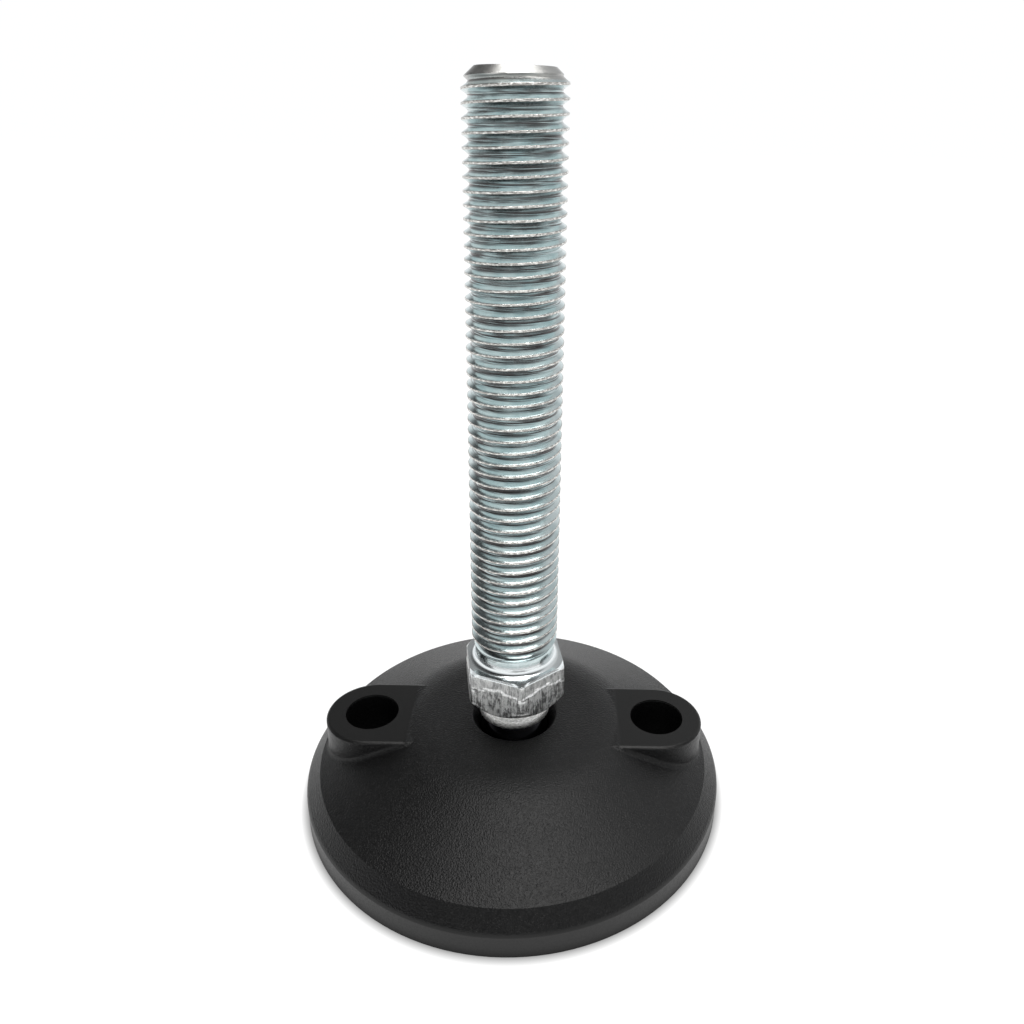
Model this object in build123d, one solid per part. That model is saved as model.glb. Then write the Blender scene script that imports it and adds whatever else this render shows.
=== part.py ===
from build123d import *
import math
import os

# Articulated levelling foot: a threaded steel stud with a ball end, held in a ribbed plastic base.
# Millimetres, +Z up. The origin is on the axis of the base, in the plane it stands on.
# The two fixing lugs lie along X.

# ---- base: outside ------------------------------------------------------------------------
base_radius = 50.0
rim_height = 5.6             # height of the upright rim
rim_edge_round = 0.9         # rounding between the rim and the steep band above it
band_width = 3.3             # radial width of the steep band
band_height = 3.8            # height of the steep band
shoulder_radius = 24.2       # where the flank would meet the crown without its blend
shoulder_height = 19.2
shoulder_blend = 24.0
crown_height = 19.45         # height the crown would reach on the axis

# ---- base: inside -------------------------------------------------------------------------
rim_wall = 3.2
roof_wall = 3.2
tower_wall = 3.6             # wall of the socket tower around the cup's bore
rib_count = 16
rib_thickness = 2.0
rib_recess = 0.6             # the ribs stop this far above the standing plane
ring_rib_radius = 31.5
boss_wall = 3.0              # wall of the bolt bosses below the lugs

# ---- fixing lugs --------------------------------------------------------------------------
lug_width = 21.8
lug_inset = 1.1              # from the steep band's top edge in to the lug's end
lug_height = 18.5
lug_hole_diameter = 12.7
lug_edge_round = 0.7
lug_foot_round = 1.1

# ---- ball joint ---------------------------------------------------------------------------
ball_diameter = 18.0
ball_clearance = 0.06        # between the ball and the faces it slides on
mouth_clearance = 1.3        # how much wider than the ball the socket's mouth is, on each side
mouth_round = 0.5
lip_grip = 0.55              # how far the snap lip reaches inside the ball's radius
lip_land = 0.5               # short straight part of the lip

# ---- thrust cup and bottom cap ------------------------------------------------------------
cup_wall = 3.0               # wall of the cup at the ball's widest
cup_floor = 1.8              # thickness below the ball
cup_running_fit = 0.06       # radial clearance of the cup in its bore
cup_end_play = 0.05
grease_hole_radius = 1.5
cap_thickness = 1.6
cap_overlap = 1.4            # how far the cap reaches past the cup's bore
edge_break = 0.3

# ---- stud ---------------------------------------------------------------------------------
thread_pitch = 2.5
crest_radius = 9.9
root_radius = 8.47
crest_flat = 0.30
root_flat = 0.25
blank_radius = 9.15          # plain shank that the thread is rolled on
stud_length = 125.2          # from the hexagon's top to the stud's end
end_radius = 7.1             # flat on the end, inside the chamfer
end_chamfer_height = 2.2
shank_length = 3.6           # plain length between the hexagon and the thread
hex_across_flats = 22.0
hex_height = 10.3
hex_corner_radius = 12.45    # the corners are turned down to this
hex_top_land_radius = 11.65
hex_top_chamfer = 1.1
hex_bottom_land_radius = 10.75
hex_bottom_chamfer = 1.9
hex_turn = 40.0              # degrees: where a corner points
collar_radius = 8.45
collar_length = 5.6          # from the hexagon down to the collar's lower edge
collar_rise = 8.0            # height of that edge above the ball's centre
collar_edge_round = 0.9
neck_radius = 6.0

# ---- worked out from the sizes above ------------------------------------------------------
ball_radius = ball_diameter / 2
socket_radius = ball_radius + ball_clearance
band_radius = base_radius - band_width
band_top = rim_height + band_height
rim_inner_radius = base_radius - rim_wall
flank_slope = math.atan2(shoulder_height - band_top, band_radius - shoulder_radius)
lug_radius = lug_width / 2
lug_spacing = 2 * (band_radius - lug_inset - lug_radius)   # between the two hole centres
lug_centre = lug_spacing / 2
lug_hole_radius = lug_hole_diameter / 2
boss_radius = lug_hole_radius + boss_wall
cup_radius = socket_radius + cup_wall
cup_bore_radius = cup_radius + cup_running_fit
cup_bottom = cap_thickness + cup_end_play
ball_height = cup_bottom + cup_floor + socket_radius
cup_top = ball_height - ball_clearance
cap_radius = cup_bore_radius + cap_overlap
tower_radius = cup_bore_radius + tower_wall
mouth_radius = ball_radius + mouth_clearance
lip_radius = ball_radius - lip_grip
lip_height = ball_height + math.sqrt(socket_radius ** 2 - lip_radius ** 2)
land_top = lip_height + lip_land
collar_bottom = ball_height + collar_rise
hex_bottom = collar_bottom + collar_length
hex_top = hex_bottom + hex_height
thread_start = hex_top + shank_length
stud_top = hex_top + stud_length
ridge_count = math.ceil((stud_top - thread_start) / thread_pitch)


def revolved(*points):
    """A solid of revolution about Z from (radius, height) points."""
    return revolve(Plane.XZ * make_face(Polyline(*points, close=True)), Axis.Z)


def upright(radius, low, high):
    """A cylinder on the Z axis between two heights."""
    return Pos(0, 0, low) * Cylinder(radius, high - low, align=(Align.CENTER, Align.CENTER, Align.MIN))


# ---- base housing -------------------------------------------------------------------------
def dome(foot_radius, wall=0.0):
    """Outline of the roof from its foot to the axis, as (radius, height), lowered by a wall."""
    drop = wall / math.cos(flank_slope)
    slope = math.tan(flank_slope)
    foot = (foot_radius, shoulder_height - drop - slope * (foot_radius - shoulder_radius))
    shoulder = (shoulder_radius, shoulder_height - drop)
    crown = (0, crown_height - drop)
    return foot, FilletPolyline(foot, shoulder, crown, radius=shoulder_blend), crown


def base_shell():
    """The outside of the base as a full solid: rim, steep band, flank and crown."""
    foot, roof, crown = dome(band_radius)
    sides = Polyline((0, 0), (base_radius, 0), (base_radius, rim_height), foot)
    body = revolve(Plane.XZ * make_face(sides + roof + Line(crown, (0, 0))), Axis.Z)
    rim_edge = [e for e in body.edges() if abs(e.bounding_box().min.Z - rim_height) < 0.01]
    return fillet([e for e in rim_edge if abs(e.bounding_box().max.Z - rim_height) < 0.01], rim_edge_round)


def lug(side):
    """One fixing lug: a flat-topped block with a round end, reaching down into the dome."""
    plan = Pos(side * lug_centre / 2, 0) * Rectangle(lug_centre, lug_width)
    plan = plan + Pos(side * lug_centre, 0) * Circle(lug_radius)
    block = extrude(plan, lug_height)
    top = block.edges().group_by(Axis.Z)[-1]
    buried = top.sort_by(Axis.X)[0 if side > 0 else -1]
    return fillet([e for e in top if e.center() != buried.center()], lug_edge_round)


def lug_foot_edges(body):
    """The edges where the lugs' walls meet the flank, beyond the shoulder's blend."""
    blend_reach = shoulder_blend * math.tan(flank_slope / 2)
    chosen = []
    for edge in body.edges().filter_by(GeomType.LINE, reverse=True):
        box = edge.bounding_box()
        outside = abs(box.center().X) > shoulder_radius + blend_reach
        on_wall = max(abs(box.min.Y), abs(box.max.Y)) < lug_radius + 0.05
        below_top = box.max.Z < lug_height - lug_edge_round
        if outside and on_wall and below_top and box.size.Z > 0.5 and box.min.Z > rim_height:
            chosen.append(edge)
    return chosen


def underside_hollow():
    """The space under the roof, between the rim and the tower, as one ring."""
    foot, roof, crown = dome(rim_inner_radius, roof_wall)
    sides = Polyline((0, 0), (rim_inner_radius, 0), foot)
    ring = revolve(Plane.XZ * make_face(sides + roof + Line(crown, (0, 0))), Axis.Z)
    return ring - upright(tower_radius, -1, crown_height)


def underside_ribs():
    """Radial ribs and one ring rib, as tall as the roof lets them be."""
    tall = crown_height - rib_recess
    blade = Pos(base_radius / 2, 0, rib_recess) * Box(
        base_radius, rib_thickness, tall, align=(Align.CENTER, Align.CENTER, Align.MIN)
    )
    ribs = upright(ring_rib_radius + rib_thickness / 2, rib_recess, crown_height)
    ribs -= upright(ring_rib_radius - rib_thickness / 2, 0, crown_height)
    for i in range(rib_count):
        ribs += Rot(0, 0, (i + 0.5) * 360 / rib_count) * blade
    for side in (-1, 1):
        ribs += Pos(side * lug_centre, 0) * upright(boss_radius, 0, crown_height)
    return ribs


def socket():
    """What the joint takes out of the tower: mouth, snap lip, ball seat, cup bore, cap recess."""
    lead_in = revolved(
        (0, lip_height), (lip_radius, lip_height), (lip_radius, land_top),
        (mouth_radius, crown_height), (mouth_radius, crown_height + 1), (0, crown_height + 1),
    )
    seat = Pos(0, 0, ball_height) * Sphere(socket_radius)
    seat = seat & upright(socket_radius + 1, ball_height, lip_height + 0.001)
    bore = upright(cup_bore_radius, 0, ball_height)
    recess = upright(cap_radius, 0, cap_thickness)
    return lead_in + seat + bore + recess


def round_mouth(body):
    """The housing with the edge between the crown and the socket's lead-in rounded."""
    level = [e for e in body.edges() if e.bounding_box().size.Z < 0.01 and e.center().Z > land_top + mouth_round]
    at_mouth = [e for e in level if abs(e.bounding_box().size.X / 2 - mouth_radius) < mouth_round]
    return fillet(at_mouth, mouth_round)


def make_base_housing():
    body = base_shell()
    for side in (-1, 1):
        body = body + lug(side)
    body = fillet(lug_foot_edges(body), lug_foot_round)
    body = body - (underside_hollow() - underside_ribs())
    body = round_mouth(body - socket())
    for side in (-1, 1):
        body = body - Pos(side * lug_centre, 0) * upright(lug_hole_radius, -1, crown_height)
    return body


# ---- thrust cup and bottom cap ------------------------------------------------------------
def make_thrust_cup():
    """The cup below the ball, which turns in the tower and carries the load to the cap."""
    cup = upright(cup_radius, cup_bottom, cup_top)
    cup = chamfer(cup.edges(), edge_break)
    cup = cup - Pos(0, 0, ball_height) * Sphere(socket_radius)
    return cup - upright(grease_hole_radius, 0, ball_height)


def make_bottom_cap():
    """The pressed-in disc that closes the tower and stands on the floor."""
    cap = upright(cap_radius, 0, cap_thickness)
    return chamfer(cap.edges().sort_by(Axis.Z)[0], edge_break)


# ---- ball stud ----------------------------------------------------------------------------
def ridge_outline():
    """Outline of the thread as (radius, height) points: one level ridge for each pitch."""
    flank = (thread_pitch - crest_flat - root_flat) / 2
    points = []
    for i in range(ridge_count):
        low = thread_start + i * thread_pitch
        crest_low = low + root_flat + flank
        points += [(root_radius, low), (root_radius, low + root_flat)]
        points += [(crest_radius, crest_low), (crest_radius, crest_low + crest_flat)]
    return points + [(root_radius, thread_start + ridge_count * thread_pitch)]


def thread_room():
    """The space the thread may fill: it grows out of the shank and ends in a chamfer."""
    clear = crest_radius + 1
    ramp_top = thread_start + clear - blank_radius
    chamfer_slope = end_chamfer_height / (crest_radius - end_radius)
    chamfer_foot = stud_top - chamfer_slope * (clear - end_radius)
    return revolved(
        (0, hex_top - 1), (blank_radius, hex_top - 1), (blank_radius, thread_start),
        (clear, ramp_top), (clear, chamfer_foot), (end_radius, stud_top), (0, stud_top),
    )


def threaded_shank():
    """The plain shank and the thread. The ridges stand level here; a real thread climbs one pitch a turn."""
    core = (0, thread_start + ridge_count * thread_pitch)
    thread = revolved((0, thread_start), *ridge_outline(), core)
    return upright(blank_radius, hex_top - 1, thread_start) + (thread & thread_room())


def hexagon():
    """The spanner hexagon, with turned corners and both ends chamfered."""
    prism = extrude(Plane.XY.offset(hex_bottom) * RegularPolygon(
        hex_across_flats / 2, 6, major_radius=False, rotation=hex_turn), hex_top - hex_bottom)
    turned = revolved(
        (0, hex_bottom), (hex_bottom_land_radius, hex_bottom),
        (hex_corner_radius, hex_bottom + hex_bottom_chamfer), (hex_corner_radius, hex_top - hex_top_chamfer),
        (hex_top_land_radius, hex_top), (0, hex_top),
    )
    return prism & turned


def ball_and_neck():
    """Collar, neck and ball below the hexagon."""
    collar = upright(collar_radius, collar_bottom, hex_bottom + 1)
    collar = fillet(collar.edges().sort_by(Axis.Z)[0], collar_edge_round)
    neck = upright(neck_radius, ball_height, collar_bottom + 1)
    ball = Pos(0, 0, ball_height) * Sphere(ball_radius)
    return collar + neck + ball


def make_ball_stud():
    return threaded_shank() + hexagon() + ball_and_neck()


pieces = {
    "base_housing": make_base_housing,
    "thrust_cup": make_thrust_cup,
    "bottom_cap": make_bottom_cap,
    "ball_stud": make_ball_stud,
}

os.makedirs("parts", exist_ok=True)
for name, make in pieces.items():
    piece = make()
    solids = piece.solids()
    export_step(solids[0] if len(solids) == 1 else piece, f"parts/{name}.step")
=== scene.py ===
import bpy
import bmesh
import math
from mathutils import Matrix, Vector


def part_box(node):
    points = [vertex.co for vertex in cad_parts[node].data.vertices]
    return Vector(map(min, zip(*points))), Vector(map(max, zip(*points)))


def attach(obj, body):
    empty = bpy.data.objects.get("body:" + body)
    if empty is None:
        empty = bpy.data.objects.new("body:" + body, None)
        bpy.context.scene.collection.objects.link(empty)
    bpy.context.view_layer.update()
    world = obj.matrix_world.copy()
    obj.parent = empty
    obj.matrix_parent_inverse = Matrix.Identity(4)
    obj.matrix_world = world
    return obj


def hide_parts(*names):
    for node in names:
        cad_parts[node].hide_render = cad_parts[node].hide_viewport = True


# Looks of the levelling foot. Metres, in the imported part's own frame: +Z up, origin on the
# base's axis in the plane it stands on, the two lugs along X.

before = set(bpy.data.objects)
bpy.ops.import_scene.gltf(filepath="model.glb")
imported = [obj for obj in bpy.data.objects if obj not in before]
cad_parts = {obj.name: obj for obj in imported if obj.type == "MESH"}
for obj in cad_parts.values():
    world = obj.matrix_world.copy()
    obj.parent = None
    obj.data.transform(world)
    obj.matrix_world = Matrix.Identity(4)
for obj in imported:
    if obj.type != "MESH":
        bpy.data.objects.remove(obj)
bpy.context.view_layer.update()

MM = 0.001
TURN = 2 * math.pi

# ---- sizes of the base ----------------------------------------------------------------------
BASE_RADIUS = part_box("base_housing")[1].x
LUG_TOP = 18.5 * MM
LUG_HALF = 10.9 * MM        # half the width of a lug, across Y
LUG_INNER = 24.5 * MM       # the lugs' smooth tops begin this far out along X

# ---- sizes of the thread --------------------------------------------------------------------
STUD_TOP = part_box("ball_stud")[1].z
PITCH = 2.5 * MM
CREST_RADIUS = 9.9 * MM
ROOT_RADIUS = 8.47 * MM
CREST_FLAT = 0.30 * MM
FLANK_SLOPE = 1.62          # rise of a thread flank for each unit along the axis
ROOT_EASE = 0.50 * MM       # how widely the rolled root is rounded
BLANK_RADIUS = 9.15 * MM    # of the plain shank that the thread is rolled on
THREAD_START = 40.01 * MM
THREAD_PHASE = math.radians(134.3)
RUN_OUT = 0.8 * PITCH       # length over which the thread reaches its full depth
END_RADIUS = 7.5 * MM
END_CHAMFER = 2.2 * MM
END_RING = 1.2 * MM         # width of the mesh's outer ring on the flat end

# ---- sizes of the hexagon and its shank ------------------------------------------------------
HEX_BOTTOM = 26.11 * MM
HEX_TOP = 36.41 * MM
HEX_FLAT = 11.0 * MM        # from the axis to a flat
HEX_CORNER = 12.45 * MM     # from the axis to a corner, which is turned round
HEX_TURN = math.radians(40.0)
HEX_SECTOR = math.radians(60.0)
HEX_TOP_LAND = 11.65 * MM
HEX_TOP_CHAMFER = 1.1 * MM
HEX_BOTTOM_LAND = 10.75 * MM
HEX_BOTTOM_CHAMFER = 1.9 * MM
SHANK_FILLET = 1.3 * MM
SHANK_HEIGHTS = (THREAD_START, 39.2 * MM, 38.4 * MM)
BURR_STEP = 0.16 * MM       # the flats are set back by this above the ragged step
BURR_DROP = 2.9 * MM        # from the hexagon's top down to the step in the middle of a flat
BURR_DIP = 1.3 * MM         # how much lower the step is at the corners
BURR_WAVES = ((0.22 * MM, 23, 0), (0.15 * MM, 41, 1), (0.10 * MM, 67, 2))    # height, waves a turn, phase
CHIP_DEPTH = 0.22 * MM      # of the chips along the corners below the step
CHIP_WAVES = (2.6 / MM, 1.1 / MM)
CHIP_SHARPNESS = 8          # the higher, the nearer the chips keep to the corners

# ---- sizes of the collar, neck and ball ------------------------------------------------------
COLLAR_RADIUS = 8.45 * MM
COLLAR_BOTTOM = 20.51 * MM
COLLAR_ROUND = 0.9 * MM
COLLAR_SHOULDER = 0.3 * MM  # how far the collar's first ring is in from its radius
COLLAR_WAIST = 0.8 * MM     # how far the collar draws in above its bead
WAIST_FROM = 0.2 * MM       # the drawn-in length, down from the hexagon's bottom
WAIST_LENGTH = 3.2 * MM
WAIST_BEGINS = 0.25         # of the waist's half wave, so that it starts drawn in
NECK_RADIUS = 6.0 * MM
NECK_CHAMFER = 0.15 * MM
BALL_RADIUS = 9.0 * MM
BALL_HEIGHT = 12.51 * MM

# ---- how finely the stud is meshed -----------------------------------------------------------
COLUMNS = 180               # a multiple of six, so that the hexagon's corners fall on one
SPARE_TURNS = 3             # of thread past both ends, which flatten onto them
CREST_EASE = 0.018          # share of a pitch between the samples at a crest's corner
FLANK_PHASES = (0.16, 0.24, 0.31, 0.37, 0.42, 0.46, 0.5)
FILLET_STEPS = 6
HEX_STEPS = 80
COLLAR_STEPS = 8
BALL_STEPS = 40
MERGE_DISTANCE = 0.0005 * MM
SHARP_ANGLE = math.radians(34)

# ---- camera ----------------------------------------------------------------------------------
CAMERA_PLACE = Vector((7.472, -163.723, 153.730)) * MM
CAMERA_FORWARD = Vector((0.00496, 0.92248, -0.38601))
CAMERA_UP = Vector((-0.01939, 0.38603, 0.92228))
CAMERA_LENS = 29.211
CAMERA_SENSOR = 36.0
CAMERA_SHIFT = (-0.0410, -0.0478)
CAMERA_CLIP = 0.01

# ---- light and floor; a direction's parts run from -1 to 1, and -Y is the front -------------
SOFTBOX_PLACE = (0.09, -0.18, 0.90)
SOFTBOX_SIZE = (0.72, 0.80)
SOFTBOX_POWER = 6.4
SOFTBOX_COLOUR = (1.0, 0.99, 0.98)
WORLD_COLOUR = (0.98, 0.99, 1.0, 1.0)
WORLD_LEFT = 0.08
WORLD_RIGHT = 0.65
WORLD_SIDES = (-0.6, 0.6)
WORLD_FRONT_SHARE = 0.2     # the sky's strength in front, as a share of that behind
WORLD_FRONT = (-0.4, 0.3)
WORLD_HORIZON = 1.02
WORLD_FRONT_HORIZON = 0.85
HORIZON_FRONT = (-0.85, -0.35)
WORLD_WHITE_BELOW = 0.115
WORLD_DARK_ABOVE = 0.50
FLOOR_HALF = 4.0
FLOOR_COLOUR = (0.12, 0.12, 0.12, 1)
FLOOR_GLOW = 0.98
GLOW_EDGE = (BASE_RADIUS - 1.0 * MM, BASE_RADIUS + 2.0 * MM)
WHITE = (1, 1, 1, 1)

# ---- where the zinc changes: each soft edge is where the change begins and where it is done --
THREAD_EDGE = (THREAD_START, THREAD_START + 1.5 * MM)
CREST_EDGE = (CREST_RADIUS - 0.20 * MM, CREST_RADIUS - 0.06 * MM)
GROOVE_EDGE = (ROOT_RADIUS + 0.25 * MM, ROOT_RADIUS + 0.75 * MM)
HEX_LOW_EDGE = (HEX_BOTTOM - 0.1 * MM, HEX_BOTTOM + 0.1 * MM)
HEX_HIGH_EDGE = (HEX_TOP - 0.9 * MM, HEX_TOP - 0.5 * MM)
STREAK_EDGE = (HEX_TOP - 4.6 * MM, HEX_TOP - 3.2 * MM)
BEVEL_EDGE = (HEX_TOP + 2.0 * MM, HEX_TOP + 2.6 * MM)
COLLAR_LOW_EDGE = (COLLAR_BOTTOM - 0.2 * MM, COLLAR_BOTTOM + 0.2 * MM)
COLLAR_HIGH_EDGE = (HEX_BOTTOM - 0.2 * MM, HEX_BOTTOM)
# painted shade on the neck and ball begins at the collar's bottom
SOCKET_SHADE_EDGE = (COLLAR_BOTTOM - 0.3 * MM, COLLAR_BOTTOM)
END_EDGE = (STUD_TOP - END_CHAMFER - 0.3 * MM, STUD_TOP - END_CHAMFER + 0.3 * MM)

# ---- where the housing is smooth -------------------------------------------------------------
RIM_EDGE = (BASE_RADIUS - 0.5 * MM, BASE_RADIUS - 0.1 * MM)
LUG_SIDE_EDGE = (LUG_HALF - 0.3 * MM, LUG_HALF + 0.1 * MM)
LUG_INNER_EDGE = (LUG_INNER, LUG_INNER + 1.0 * MM)
LUG_TOP_EDGE = (LUG_TOP - 0.5 * MM, LUG_TOP - 0.2 * MM)

# ---- colours ---------------------------------------------------------------------------------
ZINC_DULL = (0.53, 0.63, 0.64, 1)
ZINC_CLEAR = (0.66, 0.74, 0.745, 1)
# painted shade, dark, in the thread roots
GROOVE_SHADE = (0.15, 0.14, 0.14, 1)
CREST_DULL = (0.40, 0.39, 0.37, 1)
# painted highlight: bright dashes along the crests
CREST_HIGHLIGHT = (0.86, 0.85, 0.82, 1)
HEX_BRIGHT = (0.92, 0.93, 0.92, 1)
HEX_GREY = (0.46, 0.47, 0.47, 1)
STREAK_DARK = (0.17, 0.17, 0.17, 1)
BEVEL_BRIGHT = (0.82, 0.86, 0.87, 1)
COLLAR_GREY = (0.62, 0.62, 0.60, 1)
# painted highlight: bright dashes on the collar
COLLAR_HIGHLIGHT = (0.95, 0.95, 0.93, 1)
# painted shade: near black on the neck and ball below the collar, for the shadow in the socket
SOCKET_SHADE_BLACK = (0.02, 0.02, 0.022, 1)
END_GREY = (0.44, 0.44, 0.43, 1)
END_LIGHT = (0.58, 0.58, 0.56, 1)
HOUSING_DARK = (0.0026, 0.0027, 0.0029, 1)
HOUSING_LIGHT = (0.0044, 0.0044, 0.0045, 1)
HOUSING_SMOOTH = (0.0080, 0.0078, 0.0075, 1)
CAP_DARK = (0.020, 0.020, 0.021, 1)
CAP_LIGHT = (0.032, 0.032, 0.033, 1)
ACETAL_DARK = (0.74, 0.73, 0.69, 1)
ACETAL_LIGHT = (0.82, 0.81, 0.77, 1)

# ---- grains: where a noise is cut off at its low and high end --------------------------------
NOISE_MIDDLE = (0.3, 0.7)
CLOUD_CUT = (0.35, 0.65)
ROLLED_CUT = (0.40, 0.56)
CREST_CUT = (0.45, 0.62)
COLLAR_CUT = (0.4, 0.62)
DRAWN_CUT = (0.38, 0.62)
STREAK_CUT = (0.46, 0.64)
PATCH_CUT = (0.30, 0.65)
PATCH_STRENGTH = (0.72, 1.18)
ROLLED_STRETCH = (90.0, 90.0, 5200.0)
DRAWN_STRETCH = (1900.0, 1900.0, 330.0)
DASH_STRETCH = (1300.0, 1300.0, 4200.0)
PIT_SHARE = 0.5             # of the pits in the housing's grain
SMOOTH_SHARE = 0.6          # of the smooth areas' own colour
TURNING_MARKS = 9000.0      # radians a metre, so the moulded parts' rings are 0.7 mm apart

# ---- roughness, from low to high, and what a region adds to it -------------------------------
ZINC_ROUGHNESS = (0.13, 0.24)
ZINC_ROUGHER = {"hexagon": 0.14, "end": 0.16, "collar": 0.18}
HOUSING_ROUGHNESS = (0.31, 0.43)
SMOOTH_ROUGHER = 0.04
HOUSING_SPECULAR = 0.33
CAP_ROUGHNESS = (0.35, 0.5)
ACETAL_ROUGHNESS = (0.25, 0.4)

# ---- relief: the depth of each bump and its strength -----------------------------------------
SPECK_BUMP = (0.012 * MM, 0.5)
ROLLED_BUMP = (0.014 * MM, 0.7)
NICK_BUMP = (0.10 * MM, 0.8)
SCORE_BUMP = (0.12 * MM, 0.9)
COLLAR_BUMP = (0.12 * MM, 0.8)
GRAIN_BUMP = (0.12 * MM, 1.0)
FINE_BUMP = (0.008 * MM, 0.5)
RING_BUMP = (0.006 * MM, 0.6)
MOTTLE_BUMP = (0.02 * MM, 0.5)


# ---- building blocks -------------------------------------------------------------------------
def add_object(name, data):
    """A new object in the scene that holds the data."""
    thing = bpy.data.objects.new(name, data)
    bpy.context.scene.collection.objects.link(thing)
    return thing


class Nodes:
    """Short calls for building one node tree."""

    def __init__(self, tree, coordinates="Object"):
        self.tree = tree
        self.position = self.add("ShaderNodeTexCoord").outputs[coordinates]
        split = self.add("ShaderNodeSeparateXYZ")
        self.link(self.position, split.inputs[0])
        self.x, self.y, self.z = split.outputs

    def add(self, kind, **settings):
        node = self.tree.nodes.new(kind)
        for key, value in settings.items():
            setattr(node, key, value)
        return node

    def link(self, source, target):
        self.tree.links.new(source, target)

    def feed(self, value, socket):
        """Sets a socket to a number or a colour, or links it to another socket."""
        if isinstance(value, (int, float, tuple)):
            socket.default_value = value
        else:
            self.link(value, socket)

    def math(self, operation, first, second=0.0):
        node = self.add("ShaderNodeMath", operation=operation)
        self.feed(first, node.inputs[0])
        self.feed(second, node.inputs[1])
        return node.outputs[0]

    def plus(self, first, second):
        return self.math("ADD", first, second)

    def times(self, first, second):
        return self.math("MULTIPLY", first, second)

    def radius(self):
        """Distance from the Z axis."""
        return self.math("SQRT", self.plus(self.times(self.x, self.x), self.times(self.y, self.y)))

    def stretched(self, x, y, z):
        """The position with each axis scaled, for grain that runs one way."""
        node = self.add("ShaderNodeMapping")
        node.inputs["Scale"].default_value = (x, y, z)
        self.link(self.position, node.inputs["Vector"])
        return node.outputs[0]

    def noise(self, scale, detail=3.0, roughness=0.55, vector=None):
        node = self.add("ShaderNodeTexNoise")
        node.inputs["Scale"].default_value = scale
        node.inputs["Detail"].default_value = detail
        node.inputs["Roughness"].default_value = roughness
        self.link(vector or self.position, node.inputs["Vector"])
        return node.outputs["Fac"]

    def cells(self, scale):
        node = self.add("ShaderNodeTexVoronoi")
        node.inputs["Scale"].default_value = scale
        self.link(self.position, node.inputs["Vector"])
        return node.outputs["Distance"]

    def fit(self, value, low, high, out_low=0.0, out_high=1.0, smooth=True):
        """The value's range from low to high, stretched over the range out_low to out_high."""
        node = self.add("ShaderNodeMapRange", clamp=True)
        if smooth:
            node.interpolation_type = "SMOOTHSTEP"
        self.feed(value, node.inputs["Value"])
        limits = {"From Min": low, "From Max": high, "To Min": out_low, "To Max": out_high}
        for key, number in limits.items():
            node.inputs[key].default_value = number
        return node.outputs["Result"]

    def drop(self, value, low, high):
        """1 below a soft edge and 0 above it."""
        return self.fit(value, low, high, 1.0, 0.0)

    def between(self, value, low_edge, high_edge):
        """1 between two soft edges and 0 outside them."""
        return self.times(self.fit(value, *low_edge), self.drop(value, *high_edge))

    def blend(self, share, first, second):
        """Mix of two colours by share, each a colour socket or four numbers."""
        node = self.add("ShaderNodeMix", data_type="RGBA")
        self.feed(share, node.inputs["Factor"])
        colours = [socket for socket in node.inputs if socket.type == "RGBA"]
        self.feed(first, colours[0])
        self.feed(second, colours[1])
        return next(socket for socket in node.outputs if socket.type == "RGBA")

    def bump(self, height, distance, strength, under=None):
        """A normal raised by height, over the normal under it if there is one."""
        node = self.add("ShaderNodeBump")
        node.inputs["Distance"].default_value = distance
        node.inputs["Strength"].default_value = strength
        self.link(height, node.inputs["Height"])
        if under is not None:
            self.link(under, node.inputs["Normal"])
        return node.outputs["Normal"]


def new_material(name):
    """A node material, the short calls for its tree, and its shader's inputs."""
    material = bpy.data.materials.new(name)
    material.use_nodes = True
    nodes = Nodes(material.node_tree)
    return material, nodes, nodes.tree.nodes["Principled BSDF"].inputs


# ---- camera, light and floor -----------------------------------------------------------------
def add_camera():
    """The camera stands close in front of the foot and looks down at it."""
    data = bpy.data.cameras.new("camera")
    data.sensor_width = CAMERA_SENSOR
    data.lens = CAMERA_LENS
    data.shift_x, data.shift_y = CAMERA_SHIFT
    data.clip_start = CAMERA_CLIP
    camera = add_object("camera", data)
    forward = CAMERA_FORWARD.normalized()
    right = forward.cross(CAMERA_UP).normalized()
    up = right.cross(forward)
    turn = Matrix((right, up, -forward)).transposed()
    camera.matrix_world = Matrix.Translation(CAMERA_PLACE) @ turn.to_4x4()
    bpy.context.scene.camera = camera


def add_softbox():
    """One large soft light above, facing straight down as an area light does unturned."""
    data = bpy.data.lights.new("overhead", "AREA")
    data.shape = "RECTANGLE"
    data.size, data.size_y = SOFTBOX_SIZE
    data.energy = SOFTBOX_POWER
    data.color = SOFTBOX_COLOUR
    add_object("overhead", data).location = SOFTBOX_PLACE


def add_world():
    """A white horizon, darker above it and in front, and darker to the left than to the right."""
    world = bpy.data.worlds.new("studio")
    world.use_nodes = True
    n = Nodes(world.node_tree, "Generated")
    across = n.fit(n.x, *WORLD_SIDES, WORLD_LEFT, WORLD_RIGHT)
    sky = n.times(across, n.fit(n.y, *WORLD_FRONT, WORLD_FRONT_SHARE, 1.0))
    horizon = n.fit(n.y, *HORIZON_FRONT, WORLD_FRONT_HORIZON, WORLD_HORIZON)
    mix = n.add("ShaderNodeMix")
    n.link(n.drop(n.z, WORLD_WHITE_BELOW, WORLD_DARK_ABOVE), mix.inputs["Factor"])
    n.link(sky, mix.inputs["A"])
    n.link(horizon, mix.inputs["B"])
    background = n.tree.nodes["Background"]
    background.inputs["Color"].default_value = WORLD_COLOUR
    n.link(mix.outputs["Result"], background.inputs["Strength"])
    bpy.context.scene.world = world
    bpy.context.scene.view_settings.view_transform = "Standard"


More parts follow.
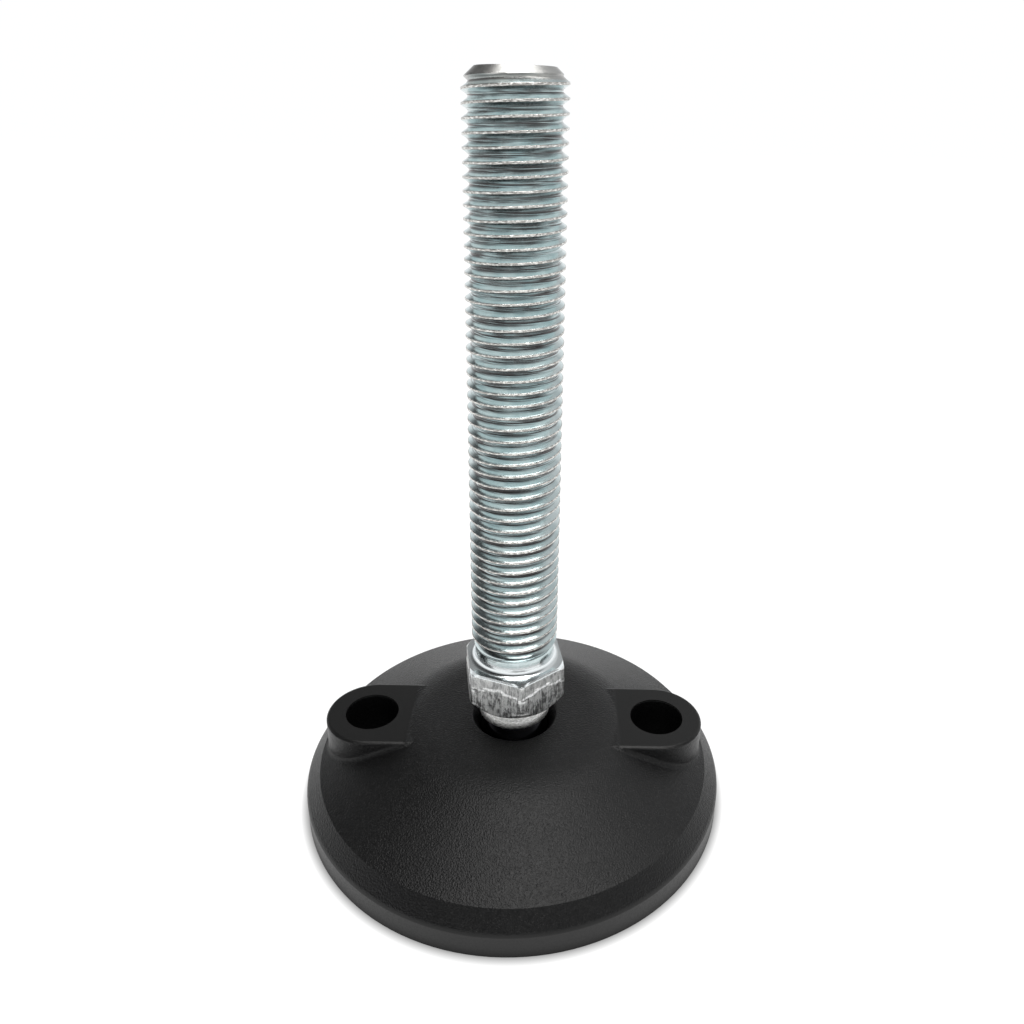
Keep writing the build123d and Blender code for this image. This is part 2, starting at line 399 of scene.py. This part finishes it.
def floor_material():
    """A pale lightbox whose glow fades out under the base, so that the bolt holes stay black."""
    material, n, shader = new_material("floor_lightbox")
    shader["Base Color"].default_value = FLOOR_COLOUR
    shader["Roughness"].default_value = 1.0
    shader["Specular IOR Level"].default_value = 0.0
    shader["Emission Color"].default_value = WHITE
    glow = n.fit(n.radius(), *GLOW_EDGE, 0.0, FLOOR_GLOW, smooth=False)
    n.link(glow, shader["Emission Strength"])
    return material


def add_floor():
    """A flat square floor under the foot."""
    mesh = bpy.data.meshes.new("floor")
    sides = ((-1, -1), (1, -1), (1, 1), (-1, 1))
    corners = [(x * FLOOR_HALF, y * FLOOR_HALF, 0) for x, y in sides]
    mesh.from_pydata(corners, [], [(0, 1, 2, 3)])
    mesh.materials.append(floor_material())
    floor = add_object("floor", mesh)


# ---- zinc ------------------------------------------------------------------------------------
def zinc_regions(n):
    """Where the stud's finish differs, and where shade and highlights are painted on it, each from 0 to
    1.
    """
    radius = n.radius()
    threaded = n.fit(n.z, *THREAD_EDGE)
    hexagon = n.between(n.z, HEX_LOW_EDGE, HEX_HIGH_EDGE)
    return {
        "crest": n.times(threaded, n.fit(radius, *CREST_EDGE)),
        "groove_shade": n.times(threaded, n.drop(radius, *GROOVE_EDGE)),
        "hexagon": hexagon,
        "streaks": n.times(hexagon, n.drop(n.z, *STREAK_EDGE)),
        "bevel": n.between(n.z, HEX_HIGH_EDGE, BEVEL_EDGE),
        "collar": n.between(n.z, COLLAR_LOW_EDGE, COLLAR_HIGH_EDGE),
        "socket_shade": n.drop(n.z, *SOCKET_SHADE_EDGE),
        "end": n.fit(n.z, *END_EDGE),
    }


def zinc_grains(n):
    """Plating clouds and specks, rolling lines round the thread, drawn streaks along the hexagon."""
    patches = n.noise(scale=420.0, detail=4.0, roughness=0.7)
    streaks = n.noise(scale=1.0, detail=5.0, roughness=0.75, vector=n.stretched(*DRAWN_STRETCH))
    return {
        "cloud": n.noise(scale=220.0, detail=4.0),
        "speck": n.noise(scale=2600.0, detail=2.0),
        "rolled": n.noise(scale=1.0, roughness=0.6, vector=n.stretched(*ROLLED_STRETCH)),
        "drawn": n.times(streaks, n.fit(patches, *PATCH_CUT, *PATCH_STRENGTH, smooth=False)),
        "dashes": n.noise(scale=1.0, roughness=0.6, vector=n.stretched(*DASH_STRETCH)),
    }


def zinc_colour(n, region, grain):
    """The plating's colour, with painted shade in the thread roots and below the collar and painted
    highlights on the crests and collar, each region painted over the ones before it.
    """
    cloud = n.fit(grain["cloud"], *CLOUD_CUT)
    colour = n.blend(cloud, ZINC_DULL, ZINC_CLEAR)
    # painted shade in the thread roots, broken up by the rolled grain
    lines = n.times(region["groove_shade"], n.fit(grain["rolled"], *ROLLED_CUT))
    colour = n.blend(lines, colour, GROOVE_SHADE)
    # the crests: duller zinc with dashes of painted highlight, partly real nicks that also drive the nick
    # bump
    crest = n.blend(n.fit(grain["dashes"], *CREST_CUT), CREST_DULL, CREST_HIGHLIGHT)
    colour = n.blend(region["crest"], colour, crest)
    hexagon = n.blend(n.fit(grain["drawn"], *DRAWN_CUT), HEX_BRIGHT, HEX_GREY)
    colour = n.blend(region["hexagon"], colour, hexagon)
    streaks = n.times(region["streaks"], n.fit(grain["drawn"], *STREAK_CUT))
    colour = n.blend(streaks, colour, STREAK_DARK)
    colour = n.blend(region["bevel"], colour, BEVEL_BRIGHT)
    # the collar: grey zinc with dashes of painted highlight
    collar = n.blend(n.fit(grain["dashes"], *COLLAR_CUT), COLLAR_GREY, COLLAR_HIGHLIGHT)
    colour = n.blend(region["collar"], colour, collar)
    # painted shade: the neck and ball below the collar are painted near black
    colour = n.blend(region["socket_shade"], colour, SOCKET_SHADE_BLACK)
    return n.blend(region["end"], colour, n.blend(cloud, END_GREY, END_LIGHT))


def zinc_roughness(n, region, grain):
    """Bright plating, rougher on the hexagon, the end and the collar."""
    rough = n.fit(grain["speck"], *NOISE_MIDDLE, *ZINC_ROUGHNESS)
    for name, extra in ZINC_ROUGHER.items():
        rough = n.plus(rough, n.times(region[name], extra))
    return rough


def zinc_bumps(n, region, grain):
    """Fine relief: specks and rolling lines all over, nicks and scores in their own regions."""
    normal = n.bump(grain["speck"], *SPECK_BUMP)
    normal = n.bump(grain["rolled"], *ROLLED_BUMP, normal)
    normal = n.bump(n.times(region["crest"], grain["dashes"]), *NICK_BUMP, normal)
    normal = n.bump(n.times(region["hexagon"], grain["drawn"]), *SCORE_BUMP, normal)
    return n.bump(n.times(region["collar"], grain["dashes"]), *COLLAR_BUMP, normal)


def zinc_material():
    """Bright zinc plate with a blue passivation over rolled and drawn steel."""
    material, n, shader = new_material("zinc_plate")
    region = zinc_regions(n)
    grain = zinc_grains(n)
    n.link(zinc_colour(n, region, grain), shader["Base Color"])
    n.link(zinc_roughness(n, region, grain), shader["Roughness"])
    n.link(zinc_bumps(n, region, grain), shader["Normal"])
    shader["Metallic"].default_value = 1.0
    return material


# ---- plastics --------------------------------------------------------------------------------
def smooth_areas(n):
    """The housing's smooth rim and lug tops, from 0 to 1."""
    rim = n.fit(n.radius(), *RIM_EDGE)
    side = n.drop(n.math("ABSOLUTE", n.y), *LUG_SIDE_EDGE)
    out = n.fit(n.math("ABSOLUTE", n.x), *LUG_INNER_EDGE)
    level = n.fit(n.z, *LUG_TOP_EDGE)
    return n.math("MAXIMUM", rim, n.times(n.times(side, out), level))


def housing_material():
    """Black glass-filled polyamide: spark-eroded grain on the dome, smooth rim and lug tops."""
    material, n, shader = new_material("black_polyamide")
    smooth = smooth_areas(n)
    grain = n.noise(scale=2500.0, detail=2.0, roughness=0.6)
    pitted = n.plus(grain, n.times(n.cells(scale=2900.0), PIT_SHARE))
    coarse = n.times(pitted, n.math("SUBTRACT", 1.0, smooth))
    colour = n.blend(n.fit(n.noise(scale=45.0), *NOISE_MIDDLE), HOUSING_DARK, HOUSING_LIGHT)
    colour = n.blend(n.times(smooth, SMOOTH_SHARE), colour, HOUSING_SMOOTH)
    n.link(colour, shader["Base Color"])
    rough = n.fit(grain, *NOISE_MIDDLE, *HOUSING_ROUGHNESS)
    n.link(n.plus(rough, n.times(smooth, SMOOTH_ROUGHER)), shader["Roughness"])
    fine = n.bump(n.noise(scale=5200.0, detail=2.0), *FINE_BUMP)
    n.link(n.bump(coarse, *GRAIN_BUMP, fine), shader["Normal"])
    shader["Specular IOR Level"].default_value = HOUSING_SPECULAR
    return material


def moulded_material(name, dark, light, roughness):
    """Plain moulded plastic with faint turning marks and mottling."""
    material, n, shader = new_material(name)
    cloud = n.fit(n.noise(scale=120.0), *NOISE_MIDDLE)
    n.link(n.blend(cloud, dark, light), shader["Base Color"])
    n.link(n.fit(n.noise(scale=900.0), *NOISE_MIDDLE, *roughness), shader["Roughness"])
    rings = n.math("SINE", n.times(n.radius(), TURNING_MARKS))
    turned = n.bump(rings, *RING_BUMP)
    n.link(n.bump(n.noise(scale=2400.0), *MOTTLE_BUMP, turned), shader["Normal"])
    return material


def paint(node, material):
    """Gives a CAD node one material in all its slots."""
    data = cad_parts[node].data
    data.materials.clear()
    data.materials.append(material)


# ---- thread ----------------------------------------------------------------------------------
def profile_radius(phase):
    """Radius of the thread at a phase from 0 to 1 along one pitch, the crest's middle at 0."""
    away = abs((phase + 0.5) % 1.0 - 0.5) * PITCH
    above_root = CREST_RADIUS - ROOT_RADIUS - FLANK_SLOPE * max(away - CREST_FLAT / 2, 0.0)
    rounded = (above_root + math.hypot(above_root, ROOT_EASE)) / 2
    return min(ROOT_RADIUS + rounded, CREST_RADIUS)


def thread_phases():
    """Where one pitch is sampled: close together at the crest's corners and in the root."""
    half_crest = CREST_FLAT / 2 / PITCH
    rising = [0.0, half_crest - CREST_EASE, half_crest, half_crest + CREST_EASE, *FLANK_PHASES]
    falling = [1.0 - phase for phase in reversed(rising[1:-1])]
    return rising + falling


def envelope(z):
    """The largest radius that the blank leaves at a height in the threaded part."""
    chamfer_from = STUD_TOP - END_CHAMFER
    if z > chamfer_from:
        return CREST_RADIUS - (z - chamfer_from) / END_CHAMFER * (CREST_RADIUS - END_RADIUS)
    return min(CREST_RADIUS, BLANK_RADIUS + max(z - THREAD_START, 0.0))


def thread_point(angle, row, phases):
    """Radius and height of one vertex of the thread's grid, whose rows follow the helix."""
    turn, step = divmod(row, len(phases))
    crest_offset = -PITCH * THREAD_PHASE / TURN
    first_turn = math.floor((THREAD_START - crest_offset) / PITCH) - 1
    z = crest_offset + PITCH * (first_turn + turn + phases[step] + angle / TURN)
    if z <= THREAD_START:
        return BLANK_RADIUS, THREAD_START
    if z >= STUD_TOP:
        return END_RADIUS, STUD_TOP
    depth = min((z - THREAD_START) / RUN_OUT, 1.0)
    threaded = BLANK_RADIUS + (profile_radius(phases[step]) - BLANK_RADIUS) * depth
    return min(threaded, envelope(z)), z


# ---- hexagon ---------------------------------------------------------------------------------
def burr_height(angle, corner):
    """Height of the ragged step on a flat, lowest at the corners (corner runs from 0 to 1)."""
    ragged = sum(height * math.sin(waves * angle + phase) for height, waves, phase in BURR_WAVES)
    return HEX_TOP - BURR_DROP - BURR_DIP * corner + ragged


def hexagon_radius(angle, z):
    """Radius of the chamfered hexagon in one direction at one height."""
    from_normal = (angle - HEX_TURN - HEX_SECTOR / 2) % HEX_SECTOR
    from_normal = min(from_normal, HEX_SECTOR - from_normal)
    corner = from_normal / (HEX_SECTOR / 2)
    flat = HEX_FLAT / math.cos(from_normal)
    if z > burr_height(angle, corner):
        flat -= BURR_STEP
    else:
        chip = math.sin(CHIP_WAVES[0] * z) * math.sin(CHIP_WAVES[1] * z + angle)
        flat -= CHIP_DEPTH * max(chip, 0.0) * corner ** CHIP_SHARPNESS
    up = HEX_BOTTOM_LAND + (HEX_CORNER - HEX_BOTTOM_LAND) * (z - HEX_BOTTOM) / HEX_BOTTOM_CHAMFER
    down = HEX_TOP_LAND + (HEX_CORNER - HEX_TOP_LAND) * (HEX_TOP - z) / HEX_TOP_CHAMFER
    return min(flat, HEX_CORNER, up, down)


# ---- rings below the thread, each a function from an angle to a radius and a height ----------
def ring(radius, z):
    return lambda angle: (radius, z)


def hexagon_ring(z):
    return lambda angle: (hexagon_radius(angle, z), z)


def quarter_turn(steps):
    """Angles from 0 to a quarter of a turn."""
    return [math.pi / 2 * i / steps for i in range(steps + 1)]


def shank_rings():
    """The plain shank, and its fillet down to the hexagon."""
    rings = [ring(BLANK_RADIUS, z) for z in SHANK_HEIGHTS]
    for a in quarter_turn(FILLET_STEPS):
        radius = BLANK_RADIUS + SHANK_FILLET * (1 - math.cos(a))
        rings.append(ring(radius, HEX_TOP + SHANK_FILLET * (1 - math.sin(a))))
    return rings


def hexagon_rings():
    """The hexagon, from its top down."""
    height = HEX_TOP - HEX_BOTTOM
    return [hexagon_ring(HEX_TOP - height * i / HEX_STEPS) for i in range(HEX_STEPS + 1)]


def collar_rings():
    """The collar's shoulder, waist and rounded bead, and the edge where the neck leaves it."""
    rings = [ring(COLLAR_RADIUS - COLLAR_SHOULDER, HEX_BOTTOM)]
    for i in range(COLLAR_STEPS + 1):
        share = i / COLLAR_STEPS
        waist = COLLAR_WAIST * math.sin(math.pi * (WAIST_BEGINS + (1 - WAIST_BEGINS) * share))
        rings.append(ring(COLLAR_RADIUS - waist, HEX_BOTTOM - WAIST_FROM - WAIST_LENGTH * share))
    for a in quarter_turn(COLLAR_STEPS):
        radius = COLLAR_RADIUS - COLLAR_ROUND * (1 - math.cos(a))
        rings.append(ring(radius, COLLAR_BOTTOM + COLLAR_ROUND * (1 - math.sin(a))))
    rings.append(ring(NECK_RADIUS + NECK_CHAMFER, COLLAR_BOTTOM))
    rings.append(ring(NECK_RADIUS, COLLAR_BOTTOM - NECK_CHAMFER))
    return rings


def ball_rings():
    """The ball, from where the neck meets it down to just above its pole."""
    rings = []
    start = math.acos(NECK_RADIUS / BALL_RADIUS)
    for i in range(BALL_STEPS):
        a = start - (math.pi / 2 + start) * i / BALL_STEPS
        rings.append(ring(BALL_RADIUS * math.cos(a), BALL_HEIGHT + BALL_RADIUS * math.sin(a)))
    return rings


# ---- stud mesh -------------------------------------------------------------------------------
def add_vertex(mesh, angle, radius, z):
    return mesh.verts.new((radius * math.cos(angle), radius * math.sin(angle), z))


def add_thread(mesh, angles):
    """The threaded part. Its grid climbs one pitch in each turn, so the last column joins a turn up."""
    phases = thread_phases()
    per_turn = len(phases)
    rows = per_turn * (math.ceil((STUD_TOP - THREAD_START) / PITCH) + SPARE_TURNS)
    grid = [[add_vertex(mesh, a, *thread_point(a, k, phases)) for k in range(rows)] for a in angles]
    for c in range(COLUMNS):
        following = (c + 1) % COLUMNS
        lift = per_turn if following == 0 else 0
        for k in range(rows - 1 - lift):
            ahead = grid[following][k + lift:k + lift + 2]
            mesh.faces.new((grid[c][k], ahead[0], ahead[1], grid[c][k + 1]))


def add_plain_part(mesh, angles):
    """Shank, hexagon, collar, neck and ball. Returns the lowest ring of vertices."""
    rings = shank_rings() + hexagon_rings() + collar_rings() + ball_rings()
    rows = [[add_vertex(mesh, a, *ring_at(a)) for a in angles] for ring_at in rings]
    for upper, lower in zip(rows, rows[1:]):
        for c in range(COLUMNS):
            following = (c + 1) % COLUMNS
            mesh.faces.new((lower[c], lower[following], upper[following], upper[c]))
    return rows[-1]


def add_ends(mesh, angles, lowest):
    """Closes the ball at its pole and the thread with its flat end."""
    pole = mesh.verts.new((0, 0, BALL_HEIGHT - BALL_RADIUS))
    outer = [add_vertex(mesh, a, END_RADIUS, STUD_TOP) for a in angles]
    inner = [add_vertex(mesh, a, END_RADIUS - END_RING, STUD_TOP) for a in angles]
    centre = mesh.verts.new((0, 0, STUD_TOP))
    for c in range(COLUMNS):
        following = (c + 1) % COLUMNS
        mesh.faces.new((pole, lowest[following], lowest[c]))
        mesh.faces.new((outer[c], outer[following], inner[following], inner[c]))
        mesh.faces.new((inner[c], inner[following], centre))


def stud_mesh():
    """The whole stud as one closed skin, smooth but for its real edges."""
    mesh = bmesh.new()
    angles = [TURN * c / COLUMNS for c in range(COLUMNS)]
    add_thread(mesh, angles)
    lowest = add_plain_part(mesh, angles)
    add_ends(mesh, angles, lowest)
    bmesh.ops.remove_doubles(mesh, verts=mesh.verts, dist=MERGE_DISTANCE)
    bmesh.ops.dissolve_degenerate(mesh, edges=mesh.edges, dist=MERGE_DISTANCE)
    bmesh.ops.recalc_face_normals(mesh, faces=mesh.faces)
    data = bpy.data.meshes.new("ball_stud_skin")
    mesh.to_mesh(data)
    mesh.free()
    for polygon in data.polygons:
        polygon.use_smooth = True
    data.set_sharp_from_angle(angle=SHARP_ANGLE)
    return data


def build_stud():
    """The stud's skin with its helical thread, in place of the CAD stud."""
    stud = add_object("ball_stud_skin", stud_mesh())
    stud.data.materials.append(zinc_material())
    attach(stud, "stud")
    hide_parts("ball_stud")


add_camera()
add_world()
add_softbox()
add_floor()
build_stud()
paint("base_housing", housing_material())
paint("bottom_cap", moulded_material("cap_plastic", CAP_DARK, CAP_LIGHT, CAP_ROUGHNESS))
paint("thrust_cup", moulded_material("acetal", ACETAL_DARK, ACETAL_LIGHT, ACETAL_ROUGHNESS))
